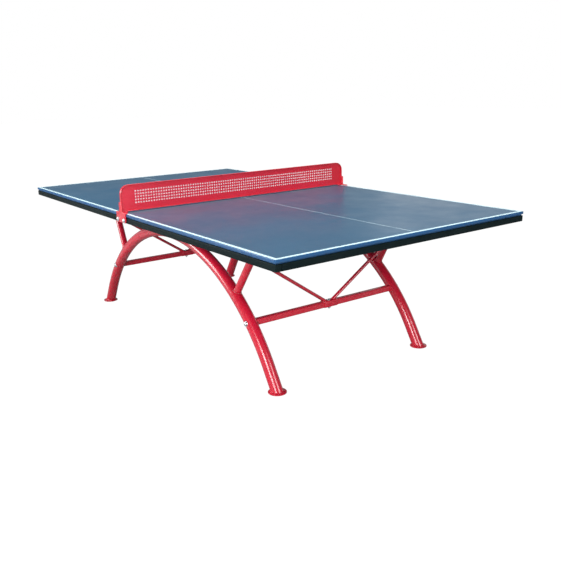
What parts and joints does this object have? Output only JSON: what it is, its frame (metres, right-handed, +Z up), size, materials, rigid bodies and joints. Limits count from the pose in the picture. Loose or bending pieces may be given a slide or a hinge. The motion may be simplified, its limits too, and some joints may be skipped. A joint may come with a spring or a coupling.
{
  "type": "table tennis table",
  "caption": "Outdoor table tennis table: blue half tops on black frames, red arched tube legs with cross-bars and V braces, and a rigid perforated steel net.",
  "frame": {"origin": "on the floor, under the middle of the table", "axes": "+X along the table, +Y across it (the net lies in the plane X = 0), +Z up"},
  "size_m": [2.74, 1.5522, 0.905],
  "materials": {
    "blue_top": "moulded blue playing surface, semi-gloss, with white border and centre lines",
    "black_frame": "black powder coat on square steel tube",
    "red_paint": "glossy red powder coat on steel tube and sheet",
    "zinc": "bright zinc-plated fasteners"
  },
  "bodies": {
    "root": {"arch_leg_back": "red_paint", "arch_leg_front": "red_paint", "arch_seat_back": "red_paint", "arch_seat_front": "red_paint", "brace_bolt_left_back": "zinc", "brace_bolt_left_front": "zinc", "brace_bolt_right_back": "zinc", "brace_bolt_right_front": "zinc", "brace_rod_left_back": "red_paint", "brace_rod_left_front": "red_paint", "brace_rod_right_back": "red_paint", "brace_rod_right_front": "red_paint", "brace_saddle_left": "red_paint", "brace_saddle_right": "red_paint", "bracket_bolt_left_back": "zinc", "bracket_bolt_left_front": "zinc", "bracket_bolt_right_back": "zinc", "bracket_bolt_right_front": "zinc", "cross_bar_left": "red_paint", "cross_bar_right": "red_paint", "foot_plate_left_back": "red_paint", "foot_plate_left_front": "red_paint", "foot_plate_right_back": "red_paint", "foot_plate_right_front": "red_paint", "frame_beam_left_back": "black_frame", "frame_beam_left_front": "black_frame", "frame_beam_right_back": "black_frame", "frame_beam_right_front": "black_frame", "frame_cross_rib_left": "black_frame", "frame_cross_rib_right": "black_frame", "frame_end_rail_left": "black_frame", "frame_end_rail_right": "black_frame", "frame_inner_rail_left": "black_frame", "frame_inner_rail_right": "black_frame", "frame_side_rail_left_back": "black_frame", "frame_side_rail_left_front": "black_frame", "frame_side_rail_right_back": "black_frame", "frame_side_rail_right_front": "black_frame", "leg_bolt_left_back": "zinc", "leg_bolt_left_front": "zinc", "leg_bolt_right_back": "zinc", "leg_bolt_right_front": "zinc", "net_bracket_back": "red_paint", "net_bracket_front": "red_paint", "net_panel": "red_paint", "net_rim": "red_paint", "saddle_bolt_left": "zinc", "saddle_bolt_right": "zinc", "saddle_nut_left": "zinc", "saddle_nut_right": "zinc", "strut_left_back": "red_paint", "strut_left_front": "red_paint", "strut_plate_left_back": "red_paint", "strut_plate_left_front": "red_paint", "strut_plate_right_back": "red_paint", "strut_plate_right_front": "red_paint", "strut_right_back": "red_paint", "strut_right_front": "red_paint", "top_panel_left": "blue_top", "top_panel_right": "blue_top"}
  },
  "joints": []
}
